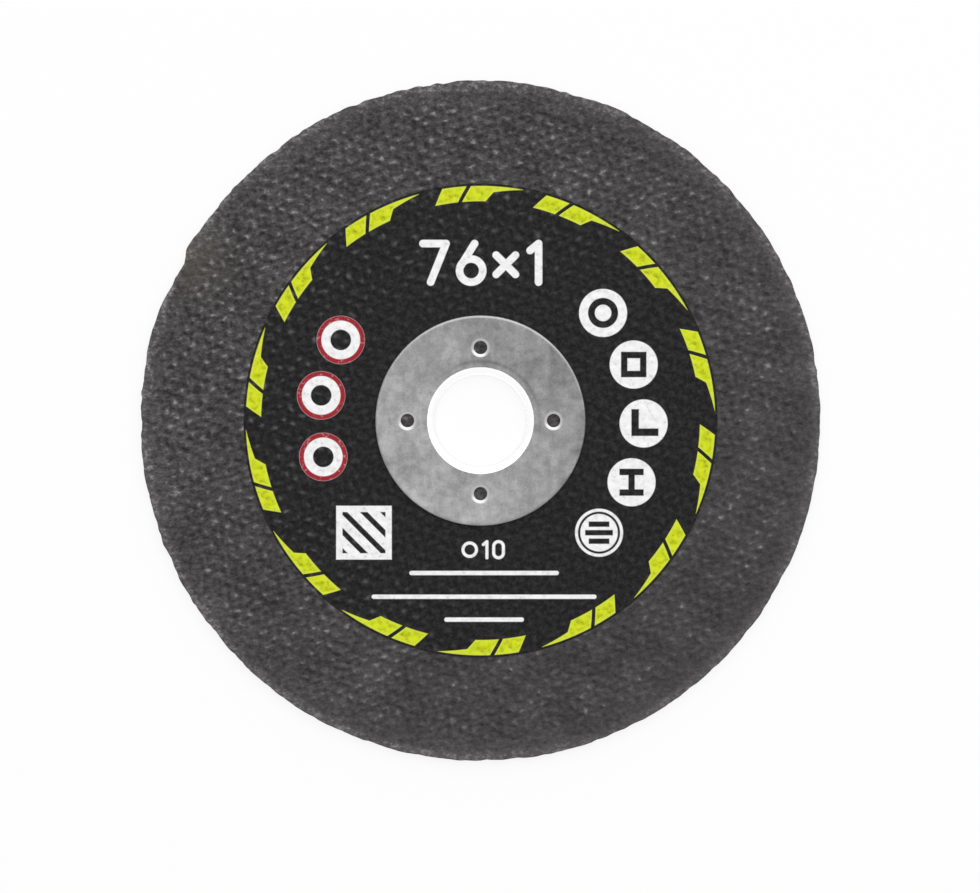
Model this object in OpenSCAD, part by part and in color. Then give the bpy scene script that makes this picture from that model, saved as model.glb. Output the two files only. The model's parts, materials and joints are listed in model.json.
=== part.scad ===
// Thin reinforced cut-off wheel: a bonded abrasive disc, a paper label pressed flush into its face,
// and a drawn steel ring that lines the arbor hole. It lies on its plain back face, label side up,
// with the origin at the centre of that face and +Z along the arbor axis.

/* [Wheel] */
// Outside diameter of the wheel
wheel_d = 76; // [60:1:125]
// Thickness of the bonded disc
wheel_t = 1; // [0.8:0.1:3.2]
// Rounding of the two rim edges
rim_r = 0.12; // [0.05:0.01:0.35]

/* [Label] */
// Outside diameter of the paper label
label_d = 52.9; // [40:0.1:58]
// Diameter of the label's centre hole, hidden under the ring's flange
label_hole_d = 19; // [18.6:0.1:22]
// Thickness of the paper, and so the depth of its seat in the disc
label_t = 0.12; // [0.05:0.01:0.3]

/* [Arbor ring] */
// Diameter of the arbor bore
bore_d = 10; // [6:0.1:12]
// Outside diameter of the flange
flange_d = 23.5; // [20.5:0.1:30]
// Thickness of the sheet steel
sheet_t = 0.35; // [0.25:0.05:0.5]
// Radius of the drawn mouth, from the top of the flange down into the bore
mouth_r = 0.9; // [0.6:0.05:1.1]
// Rounding of the flange's outer edge
flange_edge_r = 0.2; // [0.05:0.05:0.3]

/* [Keying holes] */
// Number of small holes round the flange
hole_count = 4; // [3:1:8]
// Diameter of the circle that the holes lie on
hole_circle_d = 16.3; // [14.6:0.1:16.6]
// Diameter of each hole
hole_d = 1.5; // [1:0.1:2]
// Diameter of the countersink at the top of the flange
countersink_d = 2.2; // [1.6:0.1:2.6]
// Depth of the countersink
countersink_depth = 0.2; // [0.1:0.05:0.3]

/* [Hidden] */
wheel_r = wheel_d / 2;
label_r = label_d / 2;
label_hole_r = label_hole_d / 2;
bore_r = bore_d / 2;
flange_r = flange_d / 2;
ring_top = wheel_t + sheet_t;
overcut = sheet_t;
$fn = 96;

// What a rounding of radius r takes off a corner at the origin, with the material towards -X and -Y
module corner_cut(r) {
    difference() {
        translate([-r, -r]) square(2 * r);
        translate([-r, -r]) circle(r = r);
    }
}

// Half section of all that lies below the drawn surface of the ring: inset 0 is the visible top of
// the sheet, and an inset of one sheet thickness is its underside, which the disc is moulded to.
module drawn_section(inset, reach, floor_z = 0) {
    wall_r = bore_r + inset;
    top_z = ring_top - inset;
    difference() {
        translate([wall_r, floor_z]) square([reach - wall_r, top_z - floor_z]);
        translate([wall_r, top_z]) mirror([1, 0]) corner_cut(mouth_r - inset);
    }
}

// Annular section of the paper, used for the label and for its seat
module label_section(height) {
    translate([label_hole_r, wheel_t - label_t]) square([label_r - label_hole_r, height]);
}

module abrasive_disc() {
    color("#4a4849")
    rotate_extrude() difference() {
        drawn_section(sheet_t, wheel_r);
        label_section(label_t + overcut);
        translate([wheel_r, wheel_t]) corner_cut(rim_r);
        translate([wheel_r, 0]) mirror([0, 1]) corner_cut(rim_r);
    }
}

module paper_label() {
    color("#2b292a")
    rotate_extrude() label_section(label_t);
}

module keying_hole() {
    translate([0, 0, wheel_t - overcut]) cylinder(d = hole_d, h = sheet_t + 2 * overcut);
    translate([0, 0, ring_top - countersink_depth])
        cylinder(d1 = hole_d, d2 = countersink_d, h = countersink_depth);
}

module arbor_ring() {
    color("#9d9d9f")
    difference() {
        rotate_extrude() difference() {
            drawn_section(0, flange_r);
            drawn_section(sheet_t, flange_r + overcut, -overcut);
            translate([flange_r, ring_top]) corner_cut(flange_edge_r);
        }
        for (i = [0 : hole_count - 1])
            rotate(i * 360 / hole_count) translate([hole_circle_d / 2, 0]) keying_hole();
    }
}

abrasive_disc();
paper_label();
arbor_ring();
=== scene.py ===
import json
import math
import bmesh
import bpy
from mathutils import Matrix, Vector, noise


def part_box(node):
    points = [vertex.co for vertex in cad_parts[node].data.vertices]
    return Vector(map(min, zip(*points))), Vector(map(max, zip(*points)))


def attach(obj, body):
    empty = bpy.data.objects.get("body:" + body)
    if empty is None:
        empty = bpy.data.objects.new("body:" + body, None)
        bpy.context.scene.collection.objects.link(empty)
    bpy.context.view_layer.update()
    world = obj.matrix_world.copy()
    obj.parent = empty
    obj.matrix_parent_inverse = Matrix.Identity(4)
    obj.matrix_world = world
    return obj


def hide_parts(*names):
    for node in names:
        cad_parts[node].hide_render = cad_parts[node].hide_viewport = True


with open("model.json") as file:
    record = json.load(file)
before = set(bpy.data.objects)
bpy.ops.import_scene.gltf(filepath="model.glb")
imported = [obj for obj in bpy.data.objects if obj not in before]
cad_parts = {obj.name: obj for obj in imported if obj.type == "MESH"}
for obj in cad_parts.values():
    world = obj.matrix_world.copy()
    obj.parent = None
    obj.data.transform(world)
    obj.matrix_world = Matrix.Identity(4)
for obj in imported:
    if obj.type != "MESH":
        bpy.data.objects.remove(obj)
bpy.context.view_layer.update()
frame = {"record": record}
scene = bpy.context.scene
scene.view_settings.view_transform = "Standard"

mm = 0.001  # the meshes are in metres, the sizes in this script in millimetres
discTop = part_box("abrasive_disc")[1] / mm
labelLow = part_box("paper_label")[0] / mm
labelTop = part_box("paper_label")[1] / mm
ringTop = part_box("arbor_ring")[1] / mm
boreRadius = next(mount["dims"]["r_mm"] for mount in frame["record"]["mounts"] if mount["kind"] == "bore")
sheet = ringTop.z - discTop.z  # thickness of the ring's steel, as its flange lies on the disc
mouthRound = 0.9  # bend of the ring from the flange into the bore
labelHole = 9.5  # radius of the label's hole, under the flange
onFace = 0.001  # a point this close to a face lies on it
print("frame: wheel radius", round(discTop.x, 2), "mm, bore radius", boreRadius, "mm")


# shader maths: a Wire is a socket that can be used in an expression

class Wire:
    def __init__(self, tree, socket):
        self.tree = tree
        self.socket = socket

    def node(self, kind, settings, inputs, out=0):
        made = self.tree.nodes.new(kind)
        for name, value in settings.items():
            if name == "stops":
                setStops(made.color_ramp, value)
            else:
                setattr(made, name, value)
        for name, value in inputs.items():
            if isinstance(value, Wire):
                self.tree.links.new(value.socket, made.inputs[name])
            else:
                made.inputs[name].default_value = value
        return Wire(self.tree, made.outputs[out])

    def maths(self, operation, *values, clamp=False):
        settings = {"operation": operation, "use_clamp": clamp}
        return self.node("ShaderNodeMath", settings, dict(enumerate(values)))

    def __add__(self, other):
        return self.maths("ADD", self, other)

    def __radd__(self, other):
        return self.maths("ADD", other, self)

    def __sub__(self, other):
        return self.maths("SUBTRACT", self, other)

    def __rsub__(self, other):
        return self.maths("SUBTRACT", other, self)

    def __mul__(self, other):
        return self.maths("MULTIPLY", self, other)

    def __rmul__(self, other):
        return self.maths("MULTIPLY", other, self)

    def __truediv__(self, other):
        return self.maths("DIVIDE", self, other)

    def __pow__(self, other):
        return self.maths("POWER", self, other)

    def __mod__(self, other):
        return self.maths("FLOORED_MODULO", self, other)

    def __neg__(self):
        return self.maths("MULTIPLY", self, -1)

    def __abs__(self):
        return self.maths("ABSOLUTE", self)


def setStops(ramp, stops):
    while len(ramp.elements) < len(stops):
        ramp.elements.new(1)
    for element, (place, colour) in zip(ramp.elements, stops):
        element.position = place
        element.color = colour


# these take numbers or wires, so that one formula shapes the mesh and its material

def cosine(value):
    if isinstance(value, Wire):
        return value.maths("COSINE", value)
    return math.cos(value)


def larger(first, second):
    if isinstance(first, Wire):
        return first.maths("MAXIMUM", first, second)
    return max(first, second)


def smaller(first, second):
    if isinstance(first, Wire):
        return first.maths("MINIMUM", first, second)
    return min(first, second)


def span(x, y):
    return (x * x + y * y) ** 0.5


def limit(value):
    if isinstance(value, Wire):
        return value.maths("ADD", value, 0, clamp=True)
    return min(1, max(0, value))


def fade(value, start, end):
    return limit((value - start) / (end - start))


# distances in the plane of the wheel, and flat shapes that are above 0 inside

def pointDistance(x, y, spot):
    return span(x - spot[0], y - spot[1])


def strokeDistance(x, y, start, end):
    if start == end:
        return pointDistance(x, y, start)
    runX, runY = end[0] - start[0], end[1] - start[1]
    fromX, fromY = x - start[0], y - start[1]
    along = limit((fromX * runX + fromY * runY) / (runX * runX + runY * runY))
    return span(fromX - along * runX, fromY - along * runY)


def barInside(x, y, spot, halfWide, halfHigh):
    return smaller(halfWide - abs(x - spot[0]), halfHigh - abs(y - spot[1]))


def ringInside(distance, radius, half):
    return half - abs(distance - radius)


def joined(insides):
    total = insides[0]
    for inside in insides[1:]:
        total = larger(total, inside)
    return total


def onCircle(radius, angles):
    turns = [math.radians(angle) for angle in angles]
    return [(radius * math.cos(turn), radius * math.sin(turn)) for turn in turns]


# colours and materials

def paint(red, green, blue):
    levels = [level / 255 for level in (red, green, blue)]
    linear = [level / 12.92 if level < 0.04 else ((level + 0.055) / 1.055) ** 2.4 for level in levels]
    return (*linear, 1)


def grey(level):
    return paint(level, level, level)


def mix(amount, first, second):
    return amount.node("ShaderNodeMix", {"data_type": "RGBA"}, {0: amount, 6: first, 7: second}, out=2)


def speckle(place, scale, detail=2.0):
    # soft noise that goes about as far below 0 as above it
    inputs = {"Vector": place, "Scale": scale, "Detail": detail}
    return place.node("ShaderNodeTexNoise", {}, inputs) - 0.5


def stretch(place, scales):
    return place.node("ShaderNodeVectorMath", {"operation": "MULTIPLY"}, {0: place, 1: scales})


def newMaterial(name, fixed):
    material = bpy.data.materials.new(name)
    material.use_nodes = True
    shader = material.node_tree.nodes["Principled BSDF"]
    for socket, value in fixed.items():
        shader.inputs[socket].default_value = value
    coordinates = material.node_tree.nodes.new("ShaderNodeTexCoord")
    metres = Wire(material.node_tree, coordinates.outputs["Object"])
    place = metres.node("ShaderNodeVectorMath", {"operation": "SCALE"}, {0: metres, "Scale": 1 / mm})
    axes = [place.node("ShaderNodeSeparateXYZ", {}, {0: place}, out=axis) for axis in range(3)]
    return material, place, axes


def dress(material, colour, roughness, height, depth):
    tree = material.node_tree
    shader = tree.nodes["Principled BSDF"]
    bump = height.node("ShaderNodeBump", {}, {"Height": height, "Distance": depth * mm})
    tree.links.new(colour.socket, shader.inputs["Base Color"])
    tree.links.new(roughness.socket, shader.inputs["Roughness"])
    tree.links.new(bump.socket, shader.inputs["Normal"])


# meshes: an outline of radius and height, rounded, split and spun about the arbor axis

def drawOutline(bm, corners, closed=True):
    points = [bm.verts.new((radius * mm, 0, height * mm)) for radius, height in corners]
    ends = points[1:] + points[:1] if closed else points[1:]
    for start, end in zip(points, ends):
        bm.edges.new((start, end))
    return points


def roundCorner(bm, corner, radius, segments):
    bmesh.ops.bevel(bm, geom=[corner], offset=radius * mm, offset_type="OFFSET", affect="VERTICES",
                    segments=segments, profile=0.5, material=-1)


def splitRun(bm, cuts, inRun):
    run = [edge for edge in bm.edges if all(inRun(end.co.x / mm, end.co.z / mm) for end in edge.verts)]
    bmesh.ops.subdivide_edges(bm, edges=run, cuts=cuts)


def mergePoints(bm):
    bmesh.ops.remove_doubles(bm, verts=bm.verts[:], dist=0.5 * onFace * mm)


def copyRound(bm, count, centre=(0, 0, 0)):
    first = bm.verts[:] + bm.edges[:] + bm.faces[:]
    for turn in range(1, count):
        copied = bmesh.ops.duplicate(bm, geom=first)["geom"]
        moved = [item for item in copied if isinstance(item, bmesh.types.BMVert)]
        turned = Matrix.Rotation(2 * math.pi * turn / count, 3, "Z")
        bmesh.ops.rotate(bm, verts=moved, cent=centre, matrix=turned)


def spinRound(bm, steps, centre=(0, 0, 0), sectors=8):
    # one sector is spun and the others are turned copies of it, which is quicker than a full spin
    bmesh.ops.spin(bm, geom=bm.verts[:] + bm.edges[:], cent=centre, axis=(0, 0, 1),
                   angle=2 * math.pi / sectors, steps=steps // sectors)
    copyRound(bm, sectors, centre)
    mergePoints(bm)
    bmesh.ops.recalc_face_normals(bm, faces=bm.faces[:])


def layOut(bm, reach, placeOf):
    # own map for the bake: the front as large as it goes, the rest inside its hole, the back mirrored
    layer = bm.loops.layers.uv.new("OFBake")
    bm.normal_update()
    for face in bm.faces:
        middle = span(*face.calc_center_median().xy) / mm
        for loop in face.loops:
            x, y, z = loop.vert.co / mm
            radius = span(x, y)
            scale = placeOf(face.normal.z, middle, radius, z) / (2 * reach * radius)
            loop[layer].uv = 0.5 + x * scale, 0.5 + y * abs(scale)


def makeObject(name, bm):
    mesh = bpy.data.meshes.new(name)
    bm.to_mesh(mesh)
    bm.free()
    made = bpy.data.objects.new(name, mesh)
    scene.collection.objects.link(made)
    return made


def finishPiece(piece, material, node, sharpAngle):
    mesh = piece.data
    mesh.polygons.foreach_set("use_smooth", [True] * len(mesh.polygons))
    mesh.set_sharp_from_angle(angle=math.radians(sharpAngle))
    mesh.materials.clear()
    mesh.materials.append(material)
    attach(piece, "root")
    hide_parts(node)
    print("piece:", piece.name, len(mesh.polygons), "faces")


# glass cloth in the faces of the wheel: pitch and turn of its two sets of threads
frontCloth = {"pitch": 0.835, "turn": 15.0, "crossPitch": 1.125, "crossTurn": 104.2,
              "wander": 0.11, "slant": 0.46}
backCloth = {"pitch": 1.99, "turn": 9.8, "crossPitch": 1.84, "crossTurn": 100.9,
             "wander": 0.2, "slant": 0.1}
resin = {
    "height": 0.33,          # height of plain resin, as on the weave's scale
    "cover": 0.74,           # how far the cloth shows through it at the middle of the wheel
    "lean": 0.0075,          # what that gains with each millimetre up or to the left
    "clothEnd": 35.6,        # radius at which the cloth stops short of the rim
    "clothFray": 0.8,        # half the width over which it stops
    "stray": 0.24,           # how far the grain pushes the threads out of line
    "strayScale": 0.9,
    "wanderThreads": 14,     # threads to one long bend of the cloth
}


def weave(x, y, cloth):
    # height of the cloth: 1 where a first thread passes over, a third where a cross thread does
    wave = 2 * math.pi / (resin["wanderThreads"] * cloth["pitch"])
    bentX = x + cloth["wander"] * cosine((y + x * 0.4) * wave)
    bentY = y + cloth["wander"] * cosine((x * 1.3 - y * 0.6) * wave)
    turn, crossTurn = math.radians(cloth["turn"]), math.radians(cloth["crossTurn"])
    across = (bentY * math.cos(turn) - bentX * math.sin(turn)) / cloth["pitch"]
    crossAcross = (bentY * math.cos(crossTurn) - bentX * math.sin(crossTurn)) / cloth["crossPitch"]
    threads = cosine(across * 2 * math.pi) + cosine(crossAcross * 2 * math.pi)
    falling = cosine((across - crossAcross) * math.pi) * (1 + cloth["slant"])
    rising = cosine((across + crossAcross) * math.pi) * (1 - cloth["slant"])
    return (threads + falling + rising + 2) / 6


def stray(place):
    # the noise keeps to about a quarter on either side of its middle
    inputs = {"Vector": place, "Scale": resin["strayScale"], "Detail": 1.0}
    colour = place.node("ShaderNodeTexNoise", {}, inputs, out=1)
    pushes = [colour.node("ShaderNodeSeparateXYZ", {}, {0: colour}, out=axis) for axis in range(2)]
    return [(push - 0.5) * (4 * resin["stray"]) for push in pushes]


def clothShow(x, y):
    # the weave shows most at the upper left and least at the lower right
    return limit(resin["cover"] + (y - x) * resin["lean"])


def clothFades(radius):
    return 1 - fade(radius, resin["clothEnd"] - resin["clothFray"], resin["clothEnd"] + resin["clothFray"])


# bonded disc
bonded = {
    "rimRound": 0.12,        # rounding of the rim's edges
    "relief": 0.1,           # depth of the weave
    "weaveShare": 0.75,      # parts of that depth
    "lumpShare": 0.4,
    "lumpScale": 1.7,
    "rimReach": 1.5,         # how far in from the edge the rim is uneven
    "rimRough": 0.204,       # unevenness of the rim
    "rimClothRough": 0.144,  # what the bare cloth adds to it
    "chipScale": 0.9,        # small and broad dips of the rim
    "broadScale": 0.23,
    "dentStart": 149.8,      # chipped place on the rim, in degrees
    "dentEnd": 160.5,
    "dentSteep": 2.2,        # degrees to its full depth from either end
    "dentSlow": 7.5,
    "dentDepth": 0.54,
    "grainStretch": (0.8, 1.05, 1),
    "grainScale": 1.9,
    "gritScale": 4.2,
    "patchScale": 0.28,
    "wornScale": 1.3,
    "tone": 0.28,            # place of plain resin between the colours below
    "weaveTone": 0.36,       # what the weave, its rubbed thread tops with a painted glint, patches of stronger painted glint, the grain and the rim add to it
    "crestTone": 0.35,
    "bareTone": 0.7,
    "grainTone": 1.5,
    "gritTone": 0.9,
    "grainShares": (0.3, 0.58),  # share of the grain under resin, and what it gains as the cloth shows
    "patchTone": 0.5,
    "rimTone": 0.24,
    "gap": paint(38, 36, 37),
    "resin": paint(66, 64, 64),
    "thread": paint(86, 84, 84),
    # crest: rubbed thread tops, lightened further as a painted glint
    "crest": paint(138, 135, 135),
    "stain": paint(96, 90, 76),
    "stainSpot": (-31.5, 17.5),
    "stainReach": 5,
    "stainShare": 0.2,
    "bump": 0.17,
    "steps": 720,            # faces round the wheel
    "frontCuts": 53,         # cuts across its front, its back and its rim
    "backCuts": 59,
    "rimCuts": 4,
    "mapMargin": 1.4,        # room beyond the rim on the map, and scale of the back and of the seat there
    "mapBack": 0.68,
    "mapSeat": 0.13,
}


def bondedMaterial():
    material, place, (x, y, z) = newMaterial("bonded_abrasive", {"Specular IOR Level": 0.2})
    radius = span(x, y)
    front = fade(z, 0.45 * discTop.z, 0.55 * discTop.z)
    strayX, strayY = stray(place)
    frontHeight = weave(x + strayX, y + strayY, frontCloth)
    backHeight = weave(x + strayX, y + strayY, backCloth)
    clothHeight = backHeight + (frontHeight - backHeight) * front
    inCloth = clothFades(radius)
    show = clothShow(x, y)
    drawnOut = stretch(place, bonded["grainStretch"])
    grain = speckle(drawnOut, bonded["grainScale"])
    grit = speckle(drawnOut, bonded["gritScale"], 1.0)
    patch = speckle(place, bonded["patchScale"])
    height = resin["height"] + (clothHeight - resin["height"]) * inCloth
    worn = fade(speckle(place, bonded["wornScale"], 1.0), -0.15, 0.25)
    # rubbed thread tops, partly a painted glint
    crest = larger(height, 0) ** 2 * worn
    glintPatches = fade(patch, -0.1, 0.12) * (1 - show)  # patches of stronger painted glint on the thread tops, more towards the lower right
    rim = fade(radius, discTop.x - 1.3, discTop.x - 0.55)
    weaveTone = bonded["weaveTone"] * (height - resin["height"]) + bonded["crestTone"] * crest
    grainTone = bonded["grainTone"] * grain + bonded["gritTone"] * grit
    underResin, asClothShows = bonded["grainShares"]
    tone = bonded["tone"] + (weaveTone + 0.05) * show + grainTone * (underResin + asClothShows * show)
    tone = tone + bonded["patchTone"] * patch + bonded["rimTone"] * rim
    # painted glints in patches on the thread tops
    tone = tone + bonded["bareTone"] * glintPatches * crest * inCloth + 0.05 * (1 - inCloth)
    stops = [(0, bonded["gap"]), (0.34, bonded["resin"]), (0.62, bonded["thread"]), (1, bonded["crest"])]
    colour = tone.node("ShaderNodeValToRGB", {"stops": stops}, {0: tone})
    stain = 1 - fade(pointDistance(x, y, bonded["stainSpot"]), 1, bonded["stainReach"])
    colour = mix(bonded["stainShare"] * stain, colour, bonded["stain"])
    roughness = 0.78 - 0.2 * crest + 0.3 * grit
    dress(material, colour, roughness, 0.6 * height + 0.4 * grain + 0.2 * grit, bonded["bump"])
    return material


def bondedDisc():
    bm = bmesh.new()
    hole = boreRadius + sheet  # the ring's collar fills it
    seat = labelLow.z
    corners = [(hole, 0), (discTop.x, 0), (discTop.x, discTop.z), (labelTop.x, discTop.z),
               (labelTop.x, seat), (labelHole, seat), (labelHole, discTop.z), (hole, discTop.z)]
    points = drawOutline(bm, corners)
    mouth, rimEdges = points[7], points[1:3]
    roundCorner(bm, mouth, mouthRound - sheet, 4)
    for edge in rimEdges:
        roundCorner(bm, edge, bonded["rimRound"], 3)
    splitRun(bm, bonded["frontCuts"], onFront)
    splitRun(bm, bonded["backCuts"], lambda radius, height: height < onFace)
    splitRun(bm, bonded["rimCuts"], lambda radius, height: radius > discTop.x - onFace)
    spinRound(bm, bonded["steps"])
    for vert in bm.verts:
        roughen(vert)
    bmesh.ops.recalc_face_normals(bm, faces=bm.faces[:])
    layOut(bm, discTop.x + bonded["mapMargin"], discPlace)
    return makeObject("bonded_disc", bm)


def onFront(radius, height):
    return height > discTop.z - onFace and radius > labelTop.x - 0.1


def discPlace(tilt, middle, radius, z):
    drop = discTop.z - z
    if tilt < -0.5:
        return -bonded["mapBack"] * radius
    if middle > labelTop.x + 0.02:  # front face and rim
        return radius + drop * fade(radius, labelTop.x, discTop.x - 0.2)
    if middle > labelTop.x - 0.02:  # wall of the label's seat
        return radius - 2 * drop
    if middle > labelHole - 0.01:  # floor of the seat
        return bonded["mapSeat"] * (radius + 2 * drop)
    return bonded["mapSeat"] * (radius - 2 * drop)


def roughen(vert):
    x, y, z = vert.co / mm
    radius = span(x, y)
    spot = Vector((x, y, z))
    strayed = spot * resin["strayScale"]
    pushX = resin["stray"] * noise.noise(strayed)
    pushY = resin["stray"] * noise.noise(strayed + Vector((9.3, 1.5, 8.0)))  # a far place in the same noise
    lump = bonded["lumpShare"] * (0.5 + 0.5 * noise.noise(spot * bonded["lumpScale"]))
    if onFront(radius, z):
        show = clothShow(x, y) * clothFades(radius)
        sunk = bonded["weaveShare"] * show * (1 - weave(x + pushX, y + pushY, frontCloth))
        beside = 0.4 + 0.6 * fade(radius, labelTop.x, labelTop.x + 0.6)  # less relief at the label
        vert.co.z -= bonded["relief"] * beside * mm * (sunk + lump)
    elif z < onFace and radius > boreRadius + 2 * sheet:  # the back is plain at its hole
        sunk = bonded["weaveShare"] * (1 - weave(x + pushX, y + pushY, backCloth))
        vert.co.z += bonded["relief"] * mm * (sunk + lump)
    edge = fade(radius, discTop.x - bonded["rimReach"], discTop.x - bonded["rimRound"])
    if edge > 0:
        small = noise.noise(Vector((x, y, z * 2)) * bonded["chipScale"])
        chip = small + 0.9 * noise.noise(spot * bonded["broadScale"])
        degrees = math.degrees(math.atan2(y, x))
        steep = (degrees - bonded["dentStart"]) / bonded["dentSteep"]
        slow = (bonded["dentEnd"] - degrees) / bonded["dentSlow"]
        dent = bonded["dentDepth"] * limit(min(steep, slow))
        uneven = bonded["rimRough"] + bonded["rimClothRough"] * clothShow(x, y) ** 4
        inward = edge * (uneven * limit(0.35 + 0.7 * chip) + dent) / radius
        vert.co.x -= vert.co.x * inward
        vert.co.y -= vert.co.y * inward


finishPiece(bondedDisc(), bondedMaterial(), "abrasive_disc", 50)


# printed label
label = {
    "relief": 0.035,         # the weave of the wheel pressed through the paper
    "bump": 0.035,
    "steps": 720,            # faces round the label, and cuts across it
    "cuts": 75,
    "mapMargin": 0.75,       # room beyond the edge on the map, and scale of the back there
    "mapBack": 0.33,
    "black": paint(19, 17, 18),
    "worn": grey(86),
    "back": grey(120),       # plain paper
    "white": grey(246),
    "red": paint(156, 38, 48),
    "green": paint(211, 223, 34),
    "darkGreen": paint(146, 157, 14),
    "paleGreen": paint(213, 225, 68),
    "softEdge": 0.09,
    "grainScale": 1.9,
    "gritScale": 4.2,
    "wornScale": 1.15,
    "wornRadii": (13, 22),   # the ink is rubbed more from the first to the second
    "wornLean": (-18, 16),   # and more from the lower right to the upper left
    "wornTone": 1.2,
    "dashCount": 14,         # groups of slanted dashes round the border
    "dashTurn": 0.1,         # where a group starts, in degrees, as are the next seven
    "firstDash": (1.1, 7.05),
    "secondDash": (8.15, 14.3),
    "tail": (12, 23.4),
    "tailTip": 23.6,
    "tailTaper": 8,
    "dashLean": 2.5,
    "lastLean": 3.2,
    "tailShare": 0.42,       # width of the tail, as a share of the border's
    "dashInner": 24.48,
    "dashOuter": 26.18,
    "spotRadius": 2.68,      # round fields at the left and right
    "rightAngles": [41.3, 20.1, -1.0, -22.2, -43.4],
    "rightCircle": 18.2,
    "leftAngles": [150, 171, 193],
    "leftCircle": 18.0,
    "redBand": 0.26,         # half the width of the red rings
    "dotRadius": 1.15,
    "tube": (1.3, 0.38),     # radius and half the wall
    "squareTube": (1.42, 0.7),  # half the outside and half the inside
    "fieldLine": (2.22, 0.13),  # radius and half the width of a fine ring
    "angleBars": [(-0.95, 0.1, 0.42, 1.5), (0.15, -0.98, 1.5, 0.42)],  # place, half width, half height
    "beamBars": [(0, 0, 0.36, 1.3), (0, 1.15, 1.35, 0.36), (0, -1.15, 1.35, 0.36)],
    "flatBars": [(0, 0.95, 1.15, 0.3), (0, 0, 1.55, 0.3), (0, -0.95, 1.15, 0.3)],
    "hatchSpot": (-13.0, -12.5),
    "hatchField": (3.1, 3.0),
    "hatchInner": (2.4, 2.3),
    "hatchPitch": 1.6,
    "hatchHalf": 0.3,
    "rules": [(-7.7, 8.5, -17.0), (-11.9, 12.7, -19.65), (-3.8, 4.6, -22.2)],  # left, right and height
    "ruleHalf": 0.24,
    "sizeText": "76×1",
    "sizeSpot": (0.2, 17.6),
    "sizeHeight": 4.3,
    "sizeHalf": 0.42,
    "boreText": "10",
    "boreSpot": (1.4, -14.4),
    "boreHeight": 1.8,
    "boreHalf": 0.17,
    "boreSign": (-1.2, -14.4),
    "boreSignRadius": 0.75,
}

# figures on a body one unit high: width, strokes, and bowls drawn at a radius round a stroke
figures = {
    "0": (0.6, [], [((0.3, 0.3), (0.3, 0.7), 0.3)]),
    "1": (0.34, [((0.04, 0.82), (0.26, 1)), ((0.26, 1), (0.26, 0))], []),
    "6": (0.62, [((0.04, 0.42), (0.4, 1))], [((0.31, 0.3), (0.31, 0.3), 0.3)]),
    "7": (0.6, [((0, 1), (0.6, 1)), ((0.6, 1), (0.2, 0))], []),
    "×": (0.5, [((0, 0.2), (0.5, 0.7)), ((0, 0.7), (0.5, 0.2))], []),
}


def figuresInside(x, y, text, spot, height, half, gap=0.34):
    wide = sum(figures[figure][0] for figure in text) + gap * (len(text) - 1)
    left = -wide / 2
    insides = []
    for figure in text:
        width, strokes, bowls = figures[figure]

        def placed(point):
            return spot[0] + (left + point[0]) * height, spot[1] + (point[1] - 0.5) * height

        for start, end in strokes:
            insides.append(half - strokeDistance(x, y, placed(start), placed(end)))
        for start, end, bowl in bowls:
            insides.append(ringInside(strokeDistance(x, y, placed(start), placed(end)), bowl * height, half))
        left += width + gap
    return joined(insides)


def borderInside(x, y):
    # each group, going clockwise: a slanted block, a slit, a second block and a tail along the outside
    radius = span(x, y)
    degrees = radius.maths("ARCTAN2", y, x) * (180 / math.pi)
    step = (label["dashTurn"] - degrees) % (360 / label["dashCount"])
    wide = label["dashOuter"] - label["dashInner"]
    up = (radius - label["dashInner"]) / wide
    lean, lastLean = label["dashLean"] * up, label["lastLean"] * up
    band = smaller(radius - label["dashInner"], label["dashOuter"] - radius)
    degreeLength = math.radians(label["dashOuter"])
    start, end = label["firstDash"]
    first = smaller(step - start - lean, end + lean - step) * degreeLength
    start, end = label["secondDash"]
    second = smaller(step - start - lean, end + lastLean - step) * degreeLength
    start, end = label["tail"]
    taper = label["tailShare"] * wide * limit((label["tailTip"] - step) / label["tailTaper"])
    tail = smaller(smaller(step - start, end - step) * degreeLength, radius - label["dashOuter"] + taper)
    return smaller(band, joined([first, second, tail]))


def barsInside(x, y, spot, bars):
    return [barInside(x, y, (spot[0] + moveX, spot[1] + moveY), halfWide, halfHigh)
            for moveX, moveY, halfWide, halfHigh in bars]


def sectionsInside(x, y, spots):
    # plain sections of stock: tube, square tube, angle, beam, flat bars in a fine ring
    tubeSpot, squareSpot, angleSpot, beamSpot, flatSpot = spots
    outside, inside = label["squareTube"]
    tube = ringInside(pointDistance(x, y, tubeSpot), *label["tube"])
    block = barInside(x, y, squareSpot, outside, outside)
    square = smaller(block, -barInside(x, y, squareSpot, inside, inside))
    fieldLine = ringInside(pointDistance(x, y, flatSpot), *label["fieldLine"])
    bars = barsInside(x, y, angleSpot, label["angleBars"]) + barsInside(x, y, beamSpot, label["beamBars"])
    bars = bars + barsInside(x, y, flatSpot, label["flatBars"])
    return joined([tube, square, fieldLine] + bars)


def hatchInside(x, y):
    spot, half = label["hatchSpot"], label["hatchPitch"] / 2
    across = (x + y - sum(spot)) * math.sqrt(0.5)
    stripes = label["hatchHalf"] - abs((across + half) % label["hatchPitch"] - half)
    return smaller(stripes, barInside(x, y, spot, *label["hatchInner"]))


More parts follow.
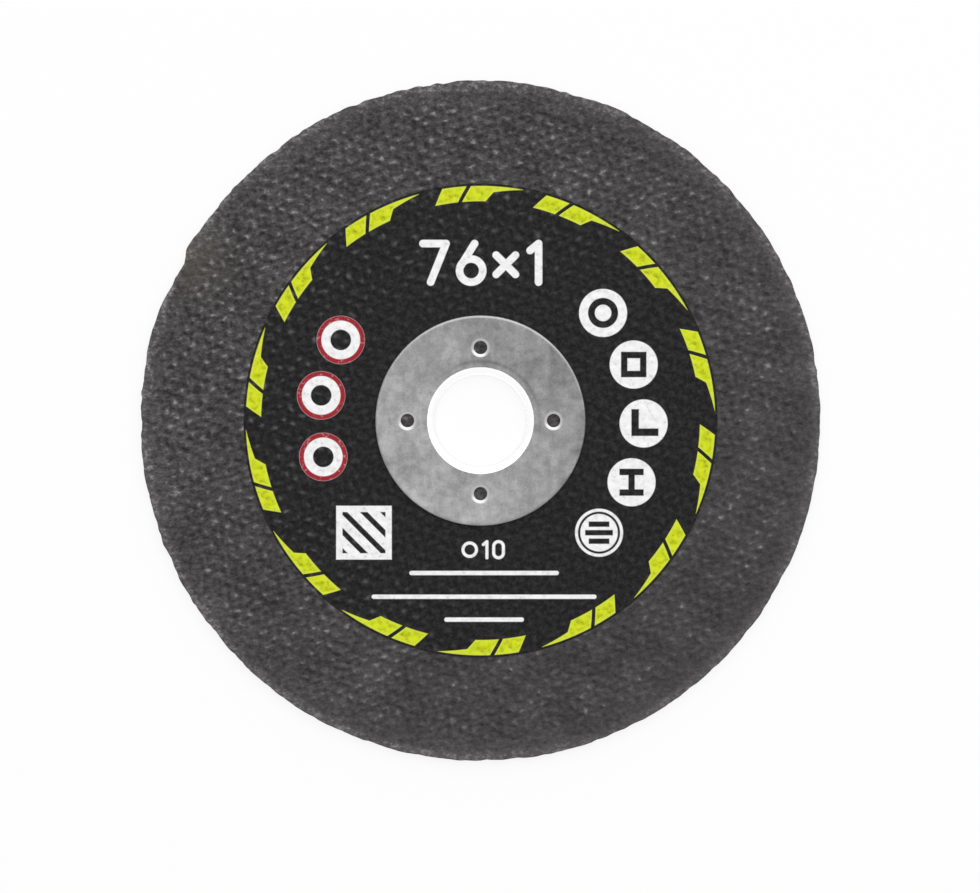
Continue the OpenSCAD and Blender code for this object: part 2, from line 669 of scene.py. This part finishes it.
def printInside(x, y):
    # the white and the red print
    rightSpots = onCircle(label["rightCircle"], label["rightAngles"])
    leftSpots = onCircle(label["leftCircle"], label["leftAngles"])
    leftDistances = [pointDistance(x, y, spot) for spot in leftSpots]
    rightDistances = [pointDistance(x, y, spot) for spot in rightSpots]
    rounds = joined([label["spotRadius"] - distance for distance in rightDistances + leftDistances])
    dots = joined([label["dotRadius"] - distance for distance in leftDistances])
    redRadius = label["spotRadius"] - label["redBand"]
    redRings = joined([ringInside(distance, redRadius, label["redBand"]) for distance in leftDistances])
    field = barInside(x, y, label["hatchSpot"], *label["hatchField"])
    lines = [strokeDistance(x, y, (left, height), (right, height)) for left, right, height in label["rules"]]
    rules = joined([label["ruleHalf"] - line for line in lines])
    sizes = figuresInside(x, y, label["sizeText"], label["sizeSpot"], label["sizeHeight"], label["sizeHalf"])
    bore = figuresInside(x, y, label["boreText"], label["boreSpot"], label["boreHeight"], label["boreHalf"])
    boreSign = ringInside(pointDistance(x, y, label["boreSign"]), label["boreSignRadius"], label["boreHalf"])
    dark = joined([sectionsInside(x, y, rightSpots), dots, hatchInside(x, y)])
    return joined([smaller(larger(rounds, field), -dark), rules, sizes, bore, boreSign]), redRings


def inked(inside):
    return limit(inside / label["softEdge"] + 0.5)


def labelMaterial():
    material, place, (x, y, z) = newMaterial("label_paper", {"Specular IOR Level": 0.1})
    light, redRings = printInside(x, y)
    border = borderInside(x, y)
    strayX, strayY = stray(place)
    height = weave(x + strayX, y + strayY, frontCloth)
    grain = speckle(place, label["grainScale"])
    grit = speckle(place, label["gritScale"], 1.0)
    outer = 0.15 + 0.85 * fade(span(x, y), *label["wornRadii"])
    spots = fade(speckle(place, label["wornScale"], 1.0), -0.04, 0.24)
    worn = spots * fade(-x + 0.5 * y, *label["wornLean"]) * outer
    crest = larger(height, 0) ** 2 * worn
    # ink rubbed off the thread tops
    wearAndEdgeHighlight = limit(0.05 + 0.12 * height + label["wornTone"] * crest + 0.55 * grain + 0.3 * grit)
    missing = fade(grain + 0.7 * grit, 0.1, 0.26)
    hollow = limit(0.42 - 0.7 * height + 1.3 * grain + 0.4 * grit)
    green = mix(hollow, label["green"], label["darkGreen"])
    green = mix(fade(border, 0.05, 0.35), label["paleGreen"], green)
    colour = mix(wearAndEdgeHighlight, label["black"], label["worn"])
    colour = mix(inked(light) * (1 - 0.15 * missing - 0.2 * hollow), colour, label["white"])
    colour = mix(inked(redRings) * (1 - 0.3 * missing), colour, label["red"])
    colour = mix(inked(border) * (1 - 0.2 * missing), colour, green)
    colour = mix(fade(z, labelLow.z + 0.02, labelLow.z + 0.05), label["back"], colour)
    roughness = 0.6 - 0.12 * height + 0.3 * grain
    dress(material, colour, roughness, 0.6 * height + 0.5 * grain, label["bump"])
    return material


def printedLabel():
    bm = bmesh.new()
    drawOutline(bm, [(labelHole, labelLow.z), (labelTop.x, labelLow.z), (labelTop.x, labelTop.z),
                     (labelHole, labelTop.z)])
    splitRun(bm, label["cuts"], lambda radius, height: height > labelTop.z - onFace)
    spinRound(bm, label["steps"])
    for vert in bm.verts:
        x, y, z = vert.co / mm
        if z > labelTop.z - onFace:
            pressed = clothShow(x, y) * fade(span(x, y), ringTop.x, ringTop.x + 1)
            vert.co.z -= label["relief"] * mm * pressed * (1 - weave(x, y, frontCloth))
    bmesh.ops.recalc_face_normals(bm, faces=bm.faces[:])
    layOut(bm, labelTop.x + label["mapMargin"], labelPlace)
    return makeObject("printed_label", bm)


def labelPlace(tilt, middle, radius, z):
    if tilt < -0.5:
        return -label["mapBack"] * radius
    drop = 4 * (labelTop.z - z) * (abs(tilt) < 0.5)  # walls fold outwards
    return radius + drop if middle > ringTop.x else radius - drop


finishPiece(printedLabel(), labelMaterial(), "paper_label", 50)


# steel ring
ring = {
    "edgeRound": 0.2,
    "holeCount": 4,
    "holeCircle": 8.15,
    "holeRadius": 0.75,
    "sinkRadius": 1.1,
    "sinkDepth": 0.2,
    "steps": 256,            # faces round the ring and round a hole, and cuts across the flange
    "holeSteps": 48,
    "flangeCuts": 24,
    "drawLine": 6.6,         # radius of a painted shade line just outside the mouth's bend, darker towards +Y
    "drawHalf": 0.3,
    "drawTone": 0.35,
    "blotchScale": 0.33,     # scales of the spots in the steel, and what they add to its tone
    "blotchTone": 0.9,
    "mottleScale": 1.1,
    "mottleTone": 0.8,
    "fineScale": 5.0,
    "fineTone": 0.5,
    "streakStretch": (1.6, 0.3, 1),
    "streakTone": 0.3,
    "leanTone": 0.014,       # painted reflection: what the tone loses with each millimetre up or to the right
    "rubbedShare": 0.37,     # painted highlight on the outer edge, towards +Y, and how far in it starts and is full
    "rubbedStart": 0.33,
    "rubbedFull": 0.23,
    "dull": grey(94),
    "steel": grey(128),
    "bright": grey(161),
    "lip": grey(184),        # painted highlight on the countersinks of the holes and on the flange's outer edge
    "mouth": grey(250),      # painted highlight on the bore's mouth, near white
    "bump": 0.008,
}


def steelMaterial():
    material, place, (x, y, z) = newMaterial("ring_steel", {"Metallic": 1.0})
    radius = span(x, y)
    blotch = speckle(place, ring["blotchScale"], 3.0)
    mottle = speckle(place, ring["mottleScale"], 3.0)
    fine = speckle(place, ring["fineScale"])
    streak = speckle(stretch(place, ring["streakStretch"]), 1.0)
    # painted shade of the mouth's bend: a darker line, strongest towards +Y
    paintedShadeLine = limit(1 - abs(radius - ring["drawLine"]) / ring["drawHalf"]) * fade(0.5 * x + y, 1, 8)
    tone = 0.5 + ring["blotchTone"] * blotch + ring["mottleTone"] * mottle
    tone = tone + ring["streakTone"] * streak + ring["fineTone"] * fine
    # painted reflection, darker towards the upper right, and the painted shade line below
    tone = tone - ring["leanTone"] * (x + y) - ring["drawTone"] * paintedShadeLine
    stops = [(0, ring["dull"]), (0.5, ring["steel"]), (1, ring["bright"])]
    colour = tone.node("ShaderNodeValToRGB", {"stops": stops}, {0: tone})
    # painted highlight on the countersinks round the keying holes
    across, along = larger(abs(x), abs(y)) - ring["holeCircle"], smaller(abs(x), abs(y))
    lip = 1 - fade(span(across, along), ring["sinkRadius"] - 0.12, ring["sinkRadius"] + 0.03)
    # painted highlight on the flange's outer edge, strongest towards +Y
    nearEdge = fade(radius, ringTop.x - ring["rubbedStart"], ringTop.x - ring["rubbedFull"])
    wearAndEdgeHighlight = nearEdge * fade(0.1 * x + y, 2, 11)
    colour = mix(larger(lip, ring["rubbedShare"] * wearAndEdgeHighlight), colour, ring["lip"])
    # painted highlight: the mouth's bend near white
    mouth = 1 - fade(radius, boreRadius + 0.97 * mouthRound, boreRadius + 1.1 * mouthRound)
    colour = mix(mouth, colour, ring["mouth"])
    roughness = 0.36 + 0.3 * blotch + 0.2 * fine - 0.16 * mouth
    dress(material, colour, roughness, streak + mottle + 0.5 * fine, ring["bump"])
    return material


def holeCutter():
    bm = bmesh.new()
    centre = ring["holeCircle"]
    wall, sink = centre + ring["holeRadius"], centre + ring["sinkRadius"]
    below, above = discTop.z - sheet, ringTop.z + sheet
    sinkLow = ringTop.z - ring["sinkDepth"]
    drawOutline(bm, [(centre, below), (wall, below), (wall, sinkLow), (sink, ringTop.z), (sink, above),
                     (centre, above)], closed=False)
    spinRound(bm, ring["holeSteps"], (centre * mm, 0, 0))
    copyRound(bm, ring["holeCount"])
    return makeObject("hole_cutter", bm)


def steelRing():
    bm = bmesh.new()
    outside = boreRadius + sheet
    corners = [(boreRadius, 0), (boreRadius, ringTop.z), (ringTop.x, ringTop.z), (ringTop.x, discTop.z),
               (outside, discTop.z), (outside, 0)]
    points = drawOutline(bm, corners)
    roundCorner(bm, points[1], mouthRound, 16)
    roundCorner(bm, points[2], ring["edgeRound"], 6)
    roundCorner(bm, points[4], mouthRound - sheet, 8)
    splitRun(bm, ring["flangeCuts"], lambda radius, height: height > ringTop.z - onFace)
    spinRound(bm, ring["steps"])
    made = makeObject("steel_ring", bm)
    cutter = holeCutter()
    drill = made.modifiers.new("keying holes", "BOOLEAN")
    drill.object = cutter
    drill.operation = "DIFFERENCE"
    drill.solver = "EXACT"
    bm = bmesh.new()
    bm.from_object(made, bpy.context.evaluated_depsgraph_get())
    made.modifiers.remove(drill)
    bpy.data.objects.remove(cutter)
    mergePoints(bm)
    bm.to_mesh(made.data)
    bm.free()
    return made


finishPiece(steelRing(), steelMaterial(), "arbor_ring", 25)


# floor, light and camera
studio = {
    "skyLight": 0.55,        # share of the light that comes from all round
    "keyLight": 0.45,        # share from one large soft lamp
    "keyRise": 45.0,         # height of that lamp in degrees
    "keyTurn": 76.0,         # its side, anticlockwise from +X
    "keyDistance": 1.2,      # metres
    "keySize": 2.2,
    "floor": 0.94,
    "floorGlow": 0.85,       # share of the floor seen as plain white
    "floorHalf": 4,          # metres
    "floorDrop": 0.01,       # millimetres below the wheel
    "pixel": 76 / 681.3,     # millimetres to a pixel at the wheel's face
    "wheelCentre": (480.5, 420.6),
    "frameSize": (980, 893),
    "lens": 150.0,
    "sensor": 36.0,
}


def seenRays(tree):
    path = tree.nodes.new("ShaderNodeLightPath")
    names = ("Is Camera Ray", "Is Glossy Ray", "Is Transmission Ray")
    return joined([Wire(tree, path.outputs[name]) for name in names])


def studioFloor():
    bm = bmesh.new()
    bmesh.ops.create_grid(bm, x_segments=1, y_segments=1, size=studio["floorHalf"])
    bmesh.ops.translate(bm, verts=bm.verts[:], vec=(0, 0, -studio["floorDrop"] * mm))
    floor = makeObject("floor", bm)
    material = bpy.data.materials.new("floor_white")
    material.use_nodes = True
    tree = material.node_tree
    shader = tree.nodes["Principled BSDF"]
    shader.inputs["Base Color"].default_value = (*[studio["floor"]] * 3, 1)
    shader.inputs["Roughness"].default_value = 1.0
    shader.inputs["Specular IOR Level"].default_value = 0.0
    seen = seenRays(tree)
    plain = seen.node("ShaderNodeEmission", {}, {"Color": (1, 1, 1, 1), "Strength": 1.0})
    blend = seen.node("ShaderNodeMixShader", {}, {0: seen * studio["floorGlow"],
                                                  1: Wire(tree, shader.outputs[0]), 2: plain})
    tree.links.new(blend.socket, tree.nodes["Material Output"].inputs["Surface"])
    floor.data.materials.append(material)


def studioLight():
    world = bpy.data.worlds.new("studio")
    world.use_nodes = True
    tree = world.node_tree
    seen = seenRays(tree)
    strength = studio["skyLight"] + (1 - studio["skyLight"]) * seen
    tree.nodes["Background"].inputs["Color"].default_value = (1, 1, 1, 1)
    tree.links.new(strength.socket, tree.nodes["Background"].inputs["Strength"])
    scene.world = world
    rise, turn = math.radians(studio["keyRise"]), math.radians(studio["keyTurn"])
    towards = Vector((math.cos(rise) * math.cos(turn), math.cos(rise) * math.sin(turn), math.sin(rise)))
    data = bpy.data.lights.new("key", "AREA")
    data.shape = "DISK"
    data.size = studio["keySize"]
    spread = studio["keyDistance"] ** 2 + (studio["keySize"] / 2) ** 2
    data.energy = studio["keyLight"] * math.pi ** 2 * spread / math.sin(rise)
    key = bpy.data.objects.new("key", data)
    key.location = towards * studio["keyDistance"]
    key.rotation_euler = towards.to_track_quat("Z", "Y").to_euler()
    scene.collection.objects.link(key)


def studioCamera():
    data = bpy.data.cameras.new("camera")
    data.lens = studio["lens"]
    data.sensor_width = studio["sensor"]
    camera = bpy.data.objects.new("camera", data)
    wide, high = studio["frameSize"]
    centreX, centreY = studio["wheelCentre"]
    distance = wide * studio["pixel"] * studio["lens"] / studio["sensor"]
    aside = Vector((wide / 2 - centreX, centreY - high / 2)) * studio["pixel"]
    camera.location = Vector((aside.x, aside.y, discTop.z + distance)) * mm  # straight down, +Y up
    scene.collection.objects.link(camera)
    scene.camera = camera


studioFloor()
studioLight()
studioCamera()
print("studio: floor, light and camera set")
